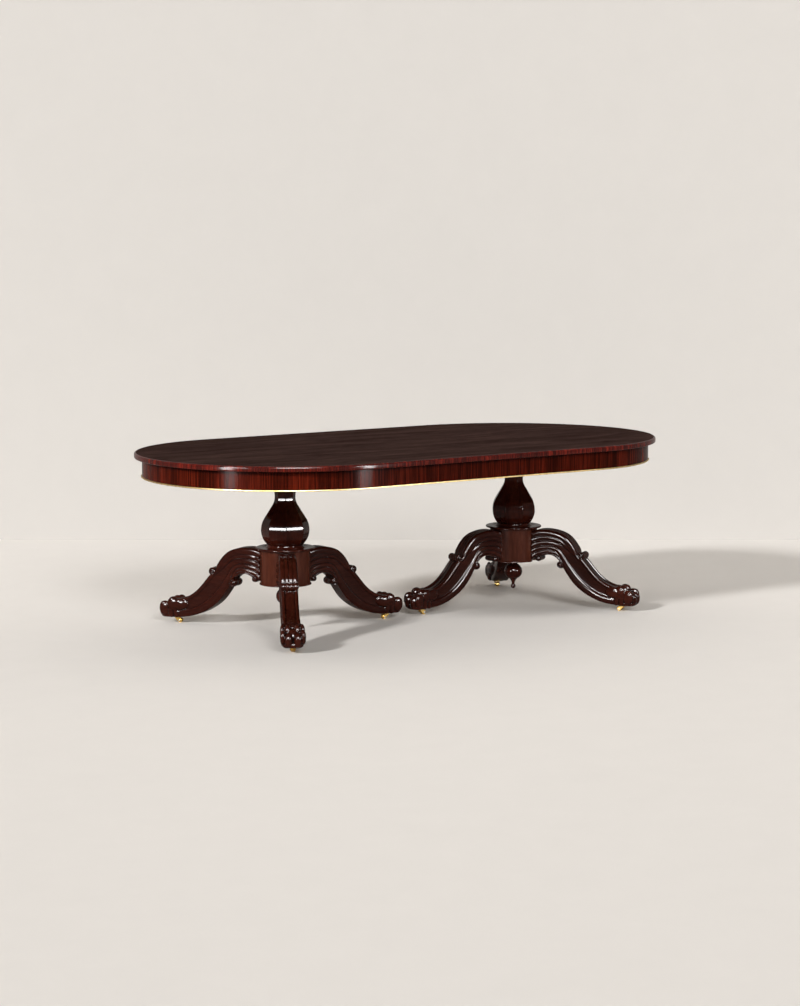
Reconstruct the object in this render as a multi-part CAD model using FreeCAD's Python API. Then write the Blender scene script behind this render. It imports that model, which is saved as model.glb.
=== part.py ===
import FreeCAD, Part
import math
import os

# Double pedestal extension dining table, in millimetres.
# The origin is on the floor under the middle of the closed table.
# +X runs along the table, +Y across it towards the back, +Z up.
# The table is two halves, left (-X) and right (+X), which draw apart to take a leaf.

V = FreeCAD.Vector
UP = V(0, 0, 1)

# Top and apron
TABLE_LENGTH = 2440.0
TABLE_WIDTH = 1270.0
TABLE_HEIGHT = 750.0
SEAM_GAP = 0.6  # between the two closed halves
TOP_THICKNESS = 22.0
TOP_ROUND = 4.0
TOP_OVERHANG = 32.0
APRON_HEIGHT = 74.0
APRON_THICKNESS = 22.0
BEAD_HEIGHT = 6.0
BEAD_PROUD = 4.0
BEAD_UNDER = 12.0  # how far the bead reaches in under the apron
BEAD_ROUND = 2.5
GLUE_BLOCK_LENGTH = 70.0
GLUE_BLOCK_DEPTH = 28.0
GLUE_BLOCK_HEIGHT = 40.0
GLUE_BLOCK_COUNT = 3  # along each straight side, and round the end
GLUE_BLOCK_STEP = 36.0  # degrees between blocks round the end

# What carries each half on its pedestal
BEARER_WIDTH = 60.0
BEARER_HEIGHT = 40.0
BEARER_SPACING = 220.0
BEARER_END_GAP = 20.0
PLATE_SIZE = 300.0
PLATE_THICKNESS = 25.0
SCREW_RADIUS = 3.0
SCREW_HEAD_RADIUS = 6.0
SCREW_HEAD_HEIGHT = 3.5
SCREW_BITE = 28.0  # how far a screw enters the bearer
SCREW_ROWS = (-105.0, -40.0, 40.0, 105.0)
SCREW_CLEARANCE = 0.1

# Column and its turned base
COLUMN_FOOT_RADIUS = 75.0
COLUMN_BELLY_RADIUS = 100.5
COLUMN_NECK_RADIUS = 43.0
COLUMN_CAP_RADIUS = 72.0
COLUMN_CAP_HEIGHT = 14.0
BELLY_SHARE = 0.198  # of the column's height, up from its foot
NECK_SHARE = 0.653
SHOULDER_LEAN = 8.8  # degrees by which the shoulder leans more than a line from belly to neck
NECK_CURVE_SHARE = 0.4  # of the shoulder's curve, for its hollow under the neck
BASE_FLARE_RADIUS = 96.0
BASE_FLARE_HEIGHT = 11.0
BRIM_RADIUS = 123.0
BRIM_THICKNESS = 8.0

# Drum and finial
DRUM_RADIUS = 104.0
DRUM_HEIGHT = 147.0
DRUM_BOTTOM = 196.0
DRUM_LIP = 4.0
DRUM_LIP_HEIGHT = 7.0
FINIAL_COLLAR_RADIUS = 22.0
FINIAL_COLLAR_HEIGHT = 6.0
FINIAL_NECK_RADIUS = 18.0
FINIAL_NECK_DROP = 18.0
FINIAL_BULB_RADIUS = 39.5
FINIAL_BULB_DROP = 52.0
FINIAL_WAIST_RADIUS = 6.5
FINIAL_WAIST_DROP = 109.0
FINIAL_BALL_RADIUS = 11.0

# Tie rod that draws the pedestal together
ROD_RADIUS = 6.0
ROD_CLEARANCE = 0.5
ROD_INTO_FINIAL = 24.0
ROD_PAST_NUT = 1.5
WASHER_RADIUS = 14.0
WASHER_THICKNESS = 2.5
NUT_FLATS = 19.0
NUT_HEIGHT = 10.0
COUNTERBORE_CLEARANCE = 2.0

# Legs
LEG_WIDTH = 76.0
LEG_TOP_GAP = 2.0  # below the brim
LEG_PANEL_DEPTH = 5.0
LEG_CHAMFER = 6.0
REED_COUNT = 4  # across the knee
REED_GROOVE_WIDTH = 8.0
REED_GROOVE_DEPTH = 4.5
EAR_RADIUS = 17.0
LOWER_SCROLL_RADIUS = 19.0
DRUM_SCROLL_RADIUS = 14.0
SCROLL_PROUD = 3.0
VOLUTE_DEPTH = 3.0
VOLUTE_OUTER_SHARE = 0.74  # of a scroll's radius, to the outside of the ring sunk in its ends
VOLUTE_INNER_SHARE = 0.42
TENON_MOUTH = 26.0
TENON_BACK = 36.0
TENON_DEPTH = 22.0
TENON_TOP_GAP = 20.0
TENON_CLEARANCE = 0.2

# Paw feet
FOOT_RADIUS = 512.0  # from the pedestal's axis to a caster's swivel
PAW_FORE = 75.0  # from the caster's swivel to the toe tips
PAW_LENGTH = 122.0
PAW_HEIGHT = 93.0
PAW_WIDTH = 94.0
PAW_MEETING_GAP = 33.0  # between the inner paws of the closed table
TOE_COUNT = 4
TOE_GAP = 2.0
TOE_PROUD = 4.0
TOE_ROUND = 8.0
OUTER_TOE_SETBACK = 6.0
LOBE_RADIUS = 10.0  # upright lobes at each side of the heel
LOBE_ROUND = 7.0

# Casters
WHEEL_RADIUS = 10.0
WHEEL_WIDTH = 15.0
WHEEL_ROUND = 1.5
WHEEL_SIDE_GAP = 0.5
WHEEL_TOP_GAP = 0.8
AXLE_RADIUS = 2.0
AXLE_HEAD_RADIUS = 3.4
AXLE_HEAD_LENGTH = 1.2
CASTER_TRAIL = 13.0
CHEEK_THICKNESS = 3.0
CHEEK_BOSS_RADIUS = 5.5
CROWN_RADIUS = 14.0
CROWN_THICKNESS = 2.4
CROWN_GAP = 0.3
STEM_RADIUS = 4.0
STEM_LENGTH = 32.0
STEM_END_GAP = 2.0
SLEEVE_RADIUS = 6.5
FLANGE_RADIUS = 17.0
FLANGE_THICKNESS = 2.5
RUNNING_CLEARANCE = 0.05

# Sliding runners
RUNNER_FACE = 262.0  # where a pair of runners meet, from the table's middle line
RUNNER_WIDTH = 34.0
RUNNER_HEIGHT = 44.0
RUNNER_GAP = 0.5
RUNNER_TOP_GAP = 6.0
RUNNER_END_GAP = 13.0
RUNNER_SEAM_GAP = 10.0
TONGUE_HEIGHT = 12.0
TONGUE_DEPTH = 12.0
TONGUE_LENGTH = 320.0
GROOVE_CLEARANCE = 0.5
STOP_WALL = 20.0
STOP_CLEARANCE = 1.0

# Alignment pins and latches at the meeting edge
PIN_RADIUS = 4.75
PIN_DEPTH = 20.0
PIN_REACH = 16.0
PIN_CLEARANCE = 0.3
PIN_ROWS = (-520.0, -130.0, 130.0, 520.0)
LATCH_PLATE_SIZE = 36.0
LATCH_PLATE_THICKNESS = 3.0
LATCH_SETBACK = 30.0  # pivot and keeper, from the seam
LATCH_HOOK_WIDTH = 26.0
LATCH_HOOK_THICKNESS = 4.0
LATCH_HOOK_GAP = 0.2
LATCH_COLLAR_RADIUS = 9.0
LATCH_COLLAR_HEIGHT = 3.0
LATCH_STUD_RADIUS = 5.0
LATCH_HEAD_HEIGHT = 3.0
LATCH_TAIL = 34.0
KEEPER_RADIUS = 4.0
KEEPER_CLEARANCE = 2.0
KEEPER_PAST_HOOK = 4.0

# Heights and places that follow
TOP_UNDERSIDE = TABLE_HEIGHT - TOP_THICKNESS
APRON_BOTTOM = TOP_UNDERSIDE - APRON_HEIGHT
END_CENTRE = (TABLE_LENGTH - TABLE_WIDTH) / 2
APRON_INSIDE = TABLE_WIDTH / 2 - TOP_OVERHANG - APRON_THICKNESS
BEARER_BOTTOM = TOP_UNDERSIDE - BEARER_HEIGHT
PLATE_BOTTOM = BEARER_BOTTOM - PLATE_THICKNESS
DRUM_TOP = DRUM_BOTTOM + DRUM_HEIGHT
BASE_TOP = DRUM_TOP + BRIM_THICKNESS + BASE_FLARE_HEIGHT
DRUM_FLAT = math.sqrt(DRUM_RADIUS ** 2 - (LEG_WIDTH / 2) ** 2)
COUNTERBORE_RADIUS = WASHER_RADIUS + COUNTERBORE_CLEARANCE
COUNTERBORE_DEPTH = WASHER_THICKNESS + NUT_HEIGHT + ROD_PAST_NUT
PAW_TIP = FOOT_RADIUS + PAW_FORE
PEDESTAL_X = PAW_TIP + PAW_MEETING_GAP / 2
CROWN_BOTTOM = 2 * WHEEL_RADIUS + WHEEL_TOP_GAP
FLANGE_BOTTOM = CROWN_BOTTOM + CROWN_THICKNESS + CROWN_GAP
SOLE = FLANGE_BOTTOM + FLANGE_THICKNESS
LEG_TOP = DRUM_TOP - LEG_TOP_GAP
TENON_TOP = DRUM_TOP - TENON_TOP_GAP
BEARER_INNER_EDGE = PEDESTAL_X - BEARER_SPACING / 2 - BEARER_WIDTH / 2
RUNNER_HALF = BEARER_INNER_EDGE - RUNNER_END_GAP
RUNNER_TOP = TOP_UNDERSIDE - RUNNER_TOP_GAP
RUNNER_MIDDLE = RUNNER_TOP - RUNNER_HEIGHT / 2
GROOVE_END = RUNNER_HALF - STOP_WALL
TONGUE_END = TONGUE_LENGTH - RUNNER_HALF
EXTENSION = GROOVE_END - TONGUE_END - STOP_CLEARANCE
LATCH_Y = (RUNNER_FACE + RUNNER_WIDTH + APRON_INSIDE) / 2
LATCH_REACH = 2 * LATCH_SETBACK
HOOK_TOP = TOP_UNDERSIDE - LATCH_PLATE_THICKNESS - LATCH_COLLAR_HEIGHT
HOOK_BOTTOM = HOOK_TOP - LATCH_HOOK_THICKNESS - 2 * LATCH_HOOK_GAP

TOUCHING = 1e-3  # distance below which two places count as one
TO_FLAT = math.cos(math.pi / 8)  # an octagon's reach to its flats, over its reach to its corners

SIDES = {"left": -1, "right": 1}
# Each leg's direction on the right pedestal, in degrees from +X; the left pedestal mirrors it.
LEG_ANGLES = {"inner": 180.0, "front": -60.0, "back": 60.0}

# Side view of a leg: shares of its reach from drum to toe tips, and of its rise from sole to top.
LEG_UPPER_SHARES = (
    (0.0, 0.987), (0.109, 1.0), (0.221, 0.99), (0.313, 0.952), (0.394, 0.86), (0.459, 0.717),
    (0.517, 0.568), (0.588, 0.425), (0.68, 0.308), (0.772, 0.254), (0.833, 0.248),
)
LEG_LOWER_SHARES = (
    (0.833, 0.013), (0.772, 0.012), (0.649, 0.041), (0.506, 0.143), (0.384, 0.295), (0.292, 0.483),
    (0.221, 0.622), (0.153, 0.651), (0.088, 0.61), (0.0, 0.568),
)
PANEL_UPPER_SHARES = (
    (0.037, 0.822), (0.139, 0.851), (0.241, 0.825), (0.333, 0.737), (0.415, 0.597), (0.496, 0.451),
    (0.588, 0.324), (0.68, 0.235), (0.745, 0.197),
)
PANEL_LOWER_SHARES = (
    (0.731, 0.089), (0.619, 0.146), (0.506, 0.241), (0.394, 0.4), (0.302, 0.59), (0.221, 0.708),
    (0.139, 0.733), (0.037, 0.689),
)
EAR_SHARES = (0.482, 0.673)
LOWER_SCROLL_SHARES = (0.268, 0.514)
DRUM_SCROLL_SHARES = (0.072, 0.584)
# Side view of the paw: shares of its length from heel to tip, and of its height from the sole.
PAD_SHARES = ((0.0, 0.82), (0.2, 0.91), (0.4, 0.95), (0.62, 0.84), (0.84, 0.66), (0.95, 0.4), (0.9, 0.0))
TOE_SHARES = (
    (0.2, 0.84), (0.36, 0.97), (0.5, 0.98), (0.63, 0.85), (0.74, 0.78), (0.86, 0.76), (0.96, 0.63),
    (1.0, 0.4), (0.98, 0.16), (0.9, 0.02),
)
LOBE_SHARES = ((0.27, 0.56), (0.47, 0.62))  # places along the paw, and heights


def box(x0, x1, y0, y1, z0, z1):
    return Part.makeBox(x1 - x0, y1 - y0, z1 - z0, V(x0, y0, z0))


def cylinder(radius, z0, z1, x=0.0, y=0.0):
    return Part.makeCylinder(radius, z1 - z0, V(x, y, z0), UP)


def cross_cylinder(radius, x, z, y0, y1):
    """Cylinder across the leg or caster, along Y."""
    return Part.makeCylinder(radius, y1 - y0, V(x, y0, z), V(0, 1, 0))


def line(start, end):
    return Part.makeLine(start, end)


def spline(points):
    curve = Part.BSplineCurve()
    curve.interpolate(list(points))
    return curve.toShape()


def bezier(*poles):
    curve = Part.BezierCurve()
    curve.setPoles(list(poles))
    return curve.toShape()


def flare(start, end):
    """Arc in the XZ plane that leaves its start upright and turns to its end."""
    run = end.x - start.x
    drop = end.z - start.z
    radius = (run ** 2 + drop ** 2) / (2 * abs(run))
    towards = math.copysign(1.0, run)
    half_turn = math.atan2(abs(drop), radius - abs(run)) / 2
    middle = V(
        start.x + towards * radius * (1 - math.cos(half_turn)),
        0,
        start.z + math.copysign(radius * math.sin(half_turn), drop),
    )
    return Part.Arc(start, middle, end).toShape()


def ogee(start, end):
    """Two equal arcs that leave one point upright and reach the other upright."""
    middle = (start + end) / 2
    return [flare(start, middle), flare(end, middle)]


def shoulder(start, end):
    """Round, straight run and hollow in the XZ plane, upright where they start and where they end."""
    run = start.x - end.x
    rise = end.z - start.z
    slope = math.atan2(run, rise) + math.radians(SHOULDER_LEAN)
    curve = (rise * math.tan(slope) - run) / (1 / math.cos(slope) - 1)
    hollow = NECK_CURVE_SHARE * curve
    sweep = V(math.cos(slope) - 1, 0, math.sin(slope))
    bend = start + sweep * (curve - hollow)
    spring = end - sweep * hollow
    return [flare(start, bend), line(bend, spring), flare(end, spring)]


def revolve(edges):
    """Solid of revolution about Z from a closed outline in the XZ plane."""
    return Part.Face(Part.Wire(Part.__sortEdges__(edges))).revolve(V(0, 0, 0), UP, 360)


def prism(edges, y0, y1):
    """A closed outline in the XZ plane, drawn out from y0 to y1."""
    solid = Part.Face(Part.Wire(edges)).extrude(V(0, y1 - y0, 0))
    solid.translate(V(0, y0, 0))
    return solid


def polygon(points):
    return [line(a, b) for a, b in zip(points, points[1:] + points[:1])]


def fuse(shapes):
    return shapes[0].multiFuse(shapes[1:]).removeSplitter()


def placed(shape, angle=0.0, x=0.0, y=0.0):
    """A copy turned about Z by an angle in degrees, then moved."""
    copy = shape.copy()
    copy.rotate(V(0, 0, 0), UP, angle)
    copy.translate(V(x, y, 0))
    return copy


def across(shape):
    """The copy on the other side of the table's long middle plane."""
    return shape.mirror(V(0, 0, 0), V(0, 1, 0))


def on_side(shape, side):
    """A shape made for the right half, kept there or mirrored to the left half."""
    if side > 0:
        return shape
    return shape.mirror(V(0, 0, 0), V(1, 0, 0))


def half_plan(inset, z, height):
    """Right half of the table's plan, drawn in by an inset and extruded upwards."""
    half_width = TABLE_WIDTH / 2 - inset
    seam = SEAM_GAP / 2
    front_seam = V(seam, -half_width, z)
    front_end = V(END_CENTRE, -half_width, z)
    tip = V(END_CENTRE + half_width, 0, z)
    back_end = V(END_CENTRE, half_width, z)
    back_seam = V(seam, half_width, z)
    end = Part.Arc(front_end, tip, back_end).toShape()
    edges = [line(front_seam, front_end), end, line(back_end, back_seam), line(back_seam, front_seam)]
    return Part.Face(Part.Wire(edges)).extrude(V(0, 0, height))


def rim_edges(solid, z, inset):
    """Edges of a half plan's outer rim at one height, without the seam."""
    half_width = TABLE_WIDTH / 2 - inset
    found = []
    for edge in solid.Edges:
        bounds = edge.BoundBox
        level = abs(bounds.ZMin - z) < TOUCHING and abs(bounds.ZMax - z) < TOUCHING
        outer = max(abs(bounds.YMin), abs(bounds.YMax)) > half_width - TOUCHING
        if level and outer and bounds.XLength > SEAM_GAP:
            found.append(edge)
    return found


def make_top():
    solid = half_plan(0, TOP_UNDERSIDE, TOP_THICKNESS)
    solid = solid.makeFillet(TOP_ROUND, rim_edges(solid, TABLE_HEIGHT, 0))
    return solid.makeFillet(TOP_ROUND, rim_edges(solid, TOP_UNDERSIDE, 0))


def pin_shape(radius, x0, x1, y):
    return Part.makeCylinder(radius, x1 - x0, V(x0, y, TOP_UNDERSIDE + TOP_THICKNESS / 2), V(1, 0, 0))


def make_apron():
    outer = half_plan(TOP_OVERHANG, APRON_BOTTOM, APRON_HEIGHT)
    inner = half_plan(TOP_OVERHANG + APRON_THICKNESS, APRON_BOTTOM, APRON_HEIGHT)
    return outer.cut(open_at_seam(inner))


def open_at_seam(inner):
    """An inner plan lengthened through the seam, so that a cut with it leaves an open band."""
    bounds = inner.BoundBox
    seam_part = box(-SEAM_GAP, SEAM_GAP, bounds.YMin, bounds.YMax, bounds.ZMin, bounds.ZMax)
    return inner.fuse(seam_part)


def make_bead():
    bottom = APRON_BOTTOM - BEAD_HEIGHT
    inset = TOP_OVERHANG - BEAD_PROUD
    outer = half_plan(inset, bottom, BEAD_HEIGHT)
    edges = rim_edges(outer, bottom, inset) + rim_edges(outer, APRON_BOTTOM, inset)
    outer = outer.makeFillet(BEAD_ROUND, edges)
    return outer.cut(open_at_seam(half_plan(TOP_OVERHANG + BEAD_UNDER, bottom, BEAD_HEIGHT)))


def make_glue_blocks():
    """Blocks in the corner of apron and top, along both straight sides and round the end."""
    bottom = TOP_UNDERSIDE - GLUE_BLOCK_HEIGHT
    inner = APRON_INSIDE - GLUE_BLOCK_DEPTH
    straight = min(END_CENTRE, BEARER_INNER_EDGE)
    blocks = []
    for i in range(GLUE_BLOCK_COUNT):
        x = straight * (i + 0.5) / GLUE_BLOCK_COUNT
        start = x - GLUE_BLOCK_LENGTH / 2
        end = start + GLUE_BLOCK_LENGTH
        block = box(start, end, inner, APRON_INSIDE, bottom, TOP_UNDERSIDE)
        blocks += [block, across(block)]
    room = cylinder(APRON_INSIDE, bottom, TOP_UNDERSIDE)
    half_length = GLUE_BLOCK_LENGTH / 2
    blank = box(inner, APRON_INSIDE, -half_length, half_length, bottom, TOP_UNDERSIDE).common(room)
    for i in range(GLUE_BLOCK_COUNT):
        angle = (i - (GLUE_BLOCK_COUNT - 1) / 2) * GLUE_BLOCK_STEP
        blocks.append(placed(blank, angle, END_CENTRE))
    return Part.Compound(blocks)


def inside_reach(x):
    """Half the clear width inside the apron at a distance along the table."""
    if x <= END_CENTRE:
        return APRON_INSIDE
    return math.sqrt(APRON_INSIDE ** 2 - (x - END_CENTRE) ** 2)


def bearer_centres():
    return (PEDESTAL_X - BEARER_SPACING / 2, PEDESTAL_X + BEARER_SPACING / 2)


def screw_places():
    return [(x, y) for x in bearer_centres() for y in SCREW_ROWS]


def make_bearers():
    bearers = []
    for centre in bearer_centres():
        x0 = centre - BEARER_WIDTH / 2
        x1 = centre + BEARER_WIDTH / 2
        reach = inside_reach(x1) - BEARER_END_GAP
        bearer = box(x0, x1, -reach, reach, BEARER_BOTTOM, TOP_UNDERSIDE)
        for x, y in screw_places():
            hole = cylinder(SCREW_RADIUS + SCREW_CLEARANCE, BEARER_BOTTOM, BEARER_BOTTOM + SCREW_BITE, x, y)
            bearer = bearer.cut(hole)
        bearers.append(bearer)
    return Part.Compound(bearers)


def make_plate():
    half = PLATE_SIZE / 2
    plate = box(PEDESTAL_X - half, PEDESTAL_X + half, -half, half, PLATE_BOTTOM, BEARER_BOTTOM)
    for x, y in screw_places():
        plate = plate.cut(cylinder(SCREW_RADIUS + SCREW_CLEARANCE, PLATE_BOTTOM, BEARER_BOTTOM, x, y))
    plate = plate.cut(cylinder(ROD_RADIUS + ROD_CLEARANCE, PLATE_BOTTOM, BEARER_BOTTOM, PEDESTAL_X))
    counterbore_bottom = BEARER_BOTTOM - COUNTERBORE_DEPTH
    return plate.cut(cylinder(COUNTERBORE_RADIUS, counterbore_bottom, BEARER_BOTTOM, PEDESTAL_X))


def make_plate_screws():
    screws = []
    for x, y in screw_places():
        shank = cylinder(SCREW_RADIUS, PLATE_BOTTOM, BEARER_BOTTOM + SCREW_BITE, x, y)
        head = cylinder(SCREW_HEAD_RADIUS, PLATE_BOTTOM - SCREW_HEAD_HEIGHT, PLATE_BOTTOM, x, y)
        screws.append(shank.fuse(head))
    return Part.Compound(screws)


def rod_bore(z0, z1):
    return cylinder(ROD_RADIUS + ROD_CLEARANCE, z0, z1)


def vase_outline():
    """Half outline of the column from foot to cap, as distances to its flats."""
    height = PLATE_BOTTOM - BASE_TOP
    foot = COLUMN_FOOT_RADIUS * TO_FLAT
    belly = COLUMN_BELLY_RADIUS * TO_FLAT
    neck = COLUMN_NECK_RADIUS * TO_FLAT
    cap = COLUMN_CAP_RADIUS * TO_FLAT
    belly_z = BASE_TOP + BELLY_SHARE * height
    neck_z = BASE_TOP + NECK_SHARE * height
    cap_z = PLATE_BOTTOM - COLUMN_CAP_HEIGHT
    belly_point = V(belly, 0, belly_z)
    neck_point = V(neck, 0, neck_z)
    swell = flare(belly_point, V(foot, 0, BASE_TOP))
    rise = flare(neck_point, V(cap, 0, cap_z))
    abacus = line(V(cap, 0, cap_z), V(cap, 0, PLATE_BOTTOM))
    return [swell] + shoulder(belly_point, neck_point) + [rise, abacus]


def make_column():
    """Octagonal vase: four prisms of the same outline, crossed at 45 degrees, a corner to the front leg."""
    half_outline = vase_outline()
    other_half = [edge.mirror(V(0, 0, 0), V(1, 0, 0)) for edge in half_outline]
    foot = V(COLUMN_FOOT_RADIUS * TO_FLAT, 0, BASE_TOP)
    cap = V(COLUMN_CAP_RADIUS * TO_FLAT, 0, PLATE_BOTTOM)
    closing = [
        line(V(-foot.x, 0, foot.z), foot),
        line(cap, V(-cap.x, 0, cap.z)),
    ]
    reach = 2 * COLUMN_BELLY_RADIUS
    edges = Part.__sortEdges__(half_outline + other_half + closing)
    slab = prism(edges, -reach, reach)
    column = slab
    for angle in (45, 90, 135):
        column = column.common(placed(slab, angle))
    column = column.cut(rod_bore(BASE_TOP, PLATE_BOTTOM))
    return placed(column, LEG_ANGLES["front"] + 180 / 8)


def make_column_base():
    """Turned brim with a hollow flare up to the column's foot."""
    brim_top = DRUM_TOP + BRIM_THICKNESS
    nose = V(BRIM_RADIUS, 0, DRUM_TOP + BRIM_THICKNESS / 2)
    nose_root = BRIM_RADIUS - BRIM_THICKNESS / 2
    edges = [
        line(V(0, 0, DRUM_TOP), V(nose_root, 0, DRUM_TOP)),
        Part.Arc(V(nose_root, 0, DRUM_TOP), nose, V(nose_root, 0, brim_top)).toShape(),
        line(V(nose_root, 0, brim_top), V(BASE_FLARE_RADIUS, 0, brim_top)),
        flare(V(COLUMN_FOOT_RADIUS, 0, BASE_TOP), V(BASE_FLARE_RADIUS, 0, brim_top)),
        line(V(COLUMN_FOOT_RADIUS, 0, BASE_TOP), V(0, 0, BASE_TOP)),
        line(V(0, 0, BASE_TOP), V(0, 0, DRUM_TOP)),
    ]
    return revolve(edges).cut(rod_bore(DRUM_TOP, BASE_TOP))


def dovetail(bottom, top, clearance):
    """Dovetail along the leg's root, pointing at the pedestal's axis."""
    mouth = TENON_MOUTH / 2 + clearance
    back = TENON_BACK / 2 + clearance
    root = DRUM_FLAT - TENON_DEPTH - clearance
    corners = [
        V(DRUM_FLAT, -mouth, bottom),
        V(DRUM_FLAT, mouth, bottom),
        V(root, back, bottom),
        V(root, -back, bottom),
    ]
    return Part.Face(Part.Wire(polygon(corners))).extrude(V(0, 0, top - bottom))


def make_drum():
    """Turned drum with a flat and a dovetail housing for each leg, and a counterbore for the nut."""
    lip_radius = DRUM_RADIUS + DRUM_LIP
    lip_top = DRUM_BOTTOM + DRUM_LIP_HEIGHT
    edges = [
        line(V(0, 0, DRUM_BOTTOM), V(lip_radius, 0, DRUM_BOTTOM)),
        flare(V(lip_radius, 0, DRUM_BOTTOM), V(DRUM_RADIUS, 0, lip_top)),
        line(V(DRUM_RADIUS, 0, lip_top), V(DRUM_RADIUS, 0, DRUM_TOP)),
        line(V(DRUM_RADIUS, 0, DRUM_TOP), V(0, 0, DRUM_TOP)),
        line(V(0, 0, DRUM_TOP), V(0, 0, DRUM_BOTTOM)),
    ]
    drum = revolve(edges)
    flat = box(DRUM_FLAT, 2 * lip_radius, -LEG_WIDTH / 2, LEG_WIDTH / 2, DRUM_BOTTOM, DRUM_TOP)
    housing = dovetail(DRUM_BOTTOM, TENON_TOP + TENON_CLEARANCE, TENON_CLEARANCE)
    for angle in LEG_ANGLES.values():
        drum = drum.cut(placed(flat, angle)).cut(placed(housing, angle))
    drum = drum.cut(rod_bore(DRUM_BOTTOM, DRUM_TOP))
    return drum.cut(cylinder(COUNTERBORE_RADIUS, DRUM_BOTTOM, DRUM_BOTTOM + COUNTERBORE_DEPTH))


def make_finial():
    """Turned drop: collar, neck, bulb, waist and ball, bored for the end of the tie rod."""
    collar_bottom = DRUM_BOTTOM - FINIAL_COLLAR_HEIGHT
    neck = V(FINIAL_NECK_RADIUS, 0, DRUM_BOTTOM - FINIAL_NECK_DROP)
    bulb = V(FINIAL_BULB_RADIUS, 0, DRUM_BOTTOM - FINIAL_BULB_DROP)
    waist = V(FINIAL_WAIST_RADIUS, 0, DRUM_BOTTOM - FINIAL_WAIST_DROP)
    ball_z = waist.z - math.sqrt(FINIAL_BALL_RADIUS ** 2 - FINIAL_WAIST_RADIUS ** 2)
    edges = [
        line(V(0, 0, DRUM_BOTTOM), V(FINIAL_COLLAR_RADIUS, 0, DRUM_BOTTOM)),
        line(V(FINIAL_COLLAR_RADIUS, 0, DRUM_BOTTOM), V(FINIAL_COLLAR_RADIUS, 0, collar_bottom)),
        line(V(FINIAL_COLLAR_RADIUS, 0, collar_bottom), neck),
        flare(bulb, neck),
        *ogee(bulb, waist),
        Part.Arc(waist, V(FINIAL_BALL_RADIUS, 0, ball_z), V(0, 0, ball_z - FINIAL_BALL_RADIUS)).toShape(),
        line(V(0, 0, ball_z - FINIAL_BALL_RADIUS), V(0, 0, DRUM_BOTTOM)),
    ]
    return revolve(edges).cut(rod_bore(DRUM_BOTTOM - ROD_INTO_FINIAL, DRUM_BOTTOM))


def make_tie_rod():
    return cylinder(ROD_RADIUS, DRUM_BOTTOM - ROD_INTO_FINIAL, BEARER_BOTTOM)


def hex_nut(z):
    across_corners = NUT_FLATS / math.cos(math.pi / 6)
    corners = []
    for i in range(6):
        angle = i * math.pi / 3
        corners.append(V(across_corners / 2 * math.cos(angle), across_corners / 2 * math.sin(angle), z))
    nut = Part.Face(Part.Wire(polygon(corners))).extrude(V(0, 0, NUT_HEIGHT))
    return nut.cut(cylinder(ROD_RADIUS, z, z + NUT_HEIGHT))


def washer(z):
    top = z + WASHER_THICKNESS
    return cylinder(WASHER_RADIUS, z, top).cut(cylinder(ROD_RADIUS, z, top))


def make_tie_rod_nuts():
    lower_seat = DRUM_BOTTOM + COUNTERBORE_DEPTH
    upper_seat = BEARER_BOTTOM - COUNTERBORE_DEPTH
    lower_washer = lower_seat - WASHER_THICKNESS
    upper_washer_top = upper_seat + WASHER_THICKNESS
    lower_pair = [washer(lower_washer), hex_nut(lower_washer - NUT_HEIGHT)]
    upper_pair = [washer(upper_seat), hex_nut(upper_washer_top)]
    return Part.Compound(lower_pair + upper_pair)


def leg_point(shares):
    reach, rise = shares
    return V(DRUM_FLAT + reach * (PAW_TIP - DRUM_FLAT), 0, SOLE + rise * (LEG_TOP - SOLE))


def paw_point(shares):
    length, height = shares
    return V(PAW_TIP - (1 - length) * PAW_LENGTH, 0, SOLE + height * PAW_HEIGHT)


def outline(*runs):
    """Closed outline of smooth runs of points, joined by straight lines."""
    edges = []
    for run, following in zip(runs, runs[1:] + runs[:1]):
        edges.append(spline(run))
        edges.append(line(run[-1], following[0]))
    return edges


def long_edges(solid, points):
    """Edges of a prism that follow the run through some of its points."""
    found = []
    for edge in solid.Edges:
        y = edge.CenterOfMass.y
        distances = [Part.Vertex(V(p.x, y, p.z)).distToShape(edge)[0] for p in points]
        if max(distances) < TOUCHING:
            found.append(edge)
    return found


def make_leg_blank():
    """S-shaped blank with eased edges, and a sunk panel down each side between the strands."""
    upper = [leg_point(p) for p in LEG_UPPER_SHARES]
    lower = [leg_point(p) for p in LEG_LOWER_SHARES]
    half = LEG_WIDTH / 2
    blank = prism(outline(upper, lower), -half, half)
    eased = long_edges(blank, upper[1:-1]) + long_edges(blank, lower[1:-1])
    blank = blank.makeChamfer(LEG_CHAMFER, eased)
    panel = outline([leg_point(p) for p in PANEL_UPPER_SHARES], [leg_point(p) for p in PANEL_LOWER_SHARES])
    sunk = prism(panel, half - LEG_PANEL_DEPTH, half)
    return blank.cut(sunk).cut(across(sunk))


def make_scroll(centre, radius):
    """Roll across the leg, with a ring sunk round the eye at each end."""
    point = leg_point(centre)
    half = LEG_WIDTH / 2 + SCROLL_PROUD
    roll = cross_cylinder(radius, point.x, point.z, -half, half)
    start = half - VOLUTE_DEPTH
    ring = cross_cylinder(VOLUTE_OUTER_SHARE * radius, point.x, point.z, start, half)
    ring = ring.cut(cross_cylinder(VOLUTE_INNER_SHARE * radius, point.x, point.z, start, half))
    return roll.cut(ring).cut(across(ring))


def make_scrolls():
    """The ear on the knee and the two scrolls under the arch."""
    return [
        make_scroll(EAR_SHARES, EAR_RADIUS),
        make_scroll(LOWER_SCROLL_SHARES, LOWER_SCROLL_RADIUS),
        make_scroll(DRUM_SCROLL_SHARES, DRUM_SCROLL_RADIUS),
    ]


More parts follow.
